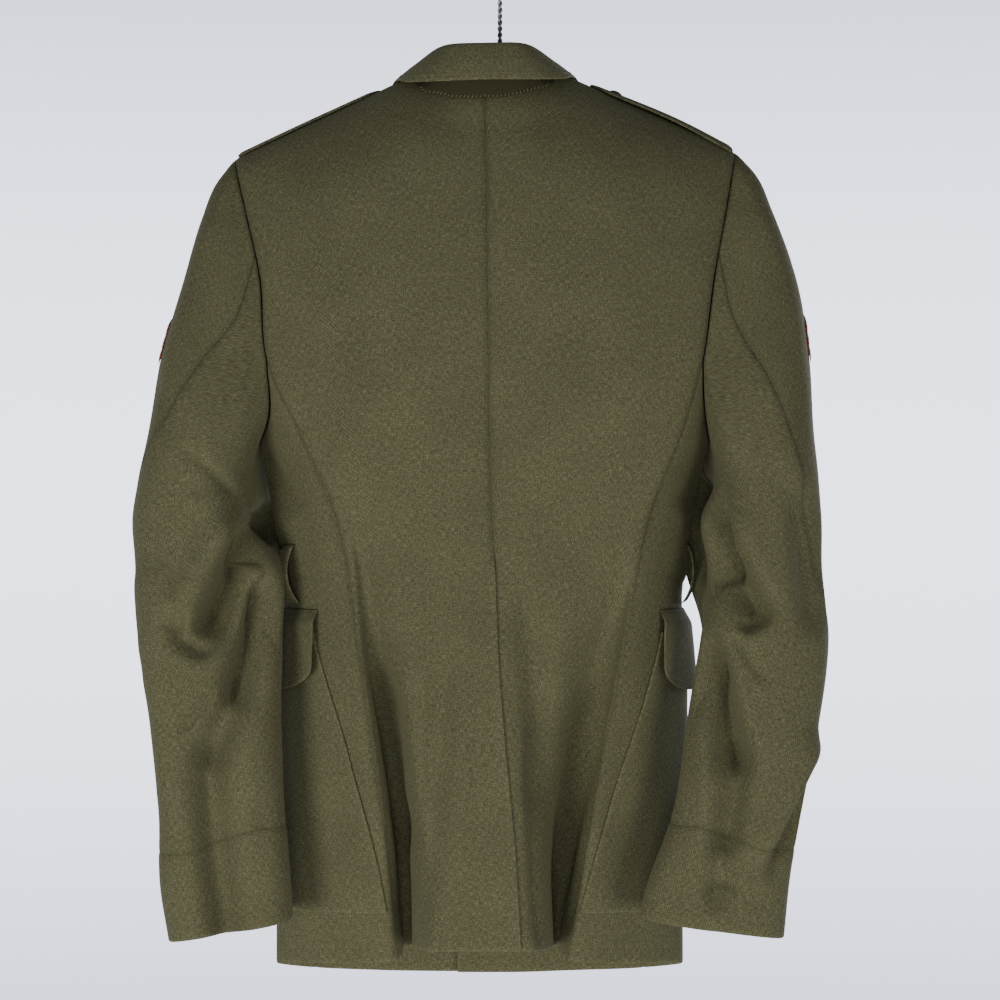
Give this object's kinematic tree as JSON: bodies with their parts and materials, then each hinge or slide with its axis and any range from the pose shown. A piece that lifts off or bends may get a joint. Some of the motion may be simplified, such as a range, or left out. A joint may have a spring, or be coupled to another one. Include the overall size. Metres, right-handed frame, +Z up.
{
  "type": "military dress tunic on a wire hanger",
  "caption": "Tailored wool dress tunic with lapels, shoulder straps, flapped patch pockets, belt loops and a back vent, hanging on a twisted wire hanger.",
  "frame": {"origin": "inside top of the hanger's hook, where a rail carries it", "axes": "+Z up, tunic's front faces -Y, its back +Y, the wearer's left +X"},
  "size_m": [0.6018, 0.1734, 0.9317],
  "materials": {
    "serge": "heathered olive wool serge, matt with a fine twill",
    "red_braid": "matt red woven braid",
    "button_bronze": "darkened bronze, dull",
    "hanger_wire": "drawn steel wire"
  },
  "bodies": {
    "root": {"back_left": "serge", "back_right": "serge", "belt_loop_left": "serge", "belt_loop_right": "serge", "chevrons_left": "red_braid", "chevrons_right": "red_braid", "collar_fall": "serge", "collar_stand": "serge", "cuff_left": "serge", "cuff_right": "serge", "epaulette_button_left": "button_bronze", "epaulette_button_right": "button_bronze", "epaulette_left": "serge", "epaulette_right": "serge", "front_button_1": "button_bronze", "front_button_2": "button_bronze", "front_button_3": "button_bronze", "front_left": "serge", "front_right": "serge", "hanger_hook": "hanger_wire", "hanger_shoulders": "hanger_wire", "lapel_left": "serge", "lapel_right": "serge", "pocket_flap_left": "serge", "pocket_flap_right": "serge", "pocket_left": "serge", "pocket_right": "serge", "side_body_left": "serge", "side_body_right": "serge", "top_sleeve_left": "serge", "top_sleeve_right": "serge", "under_sleeve_left": "serge", "under_sleeve_right": "serge"}
  },
  "joints": []
}
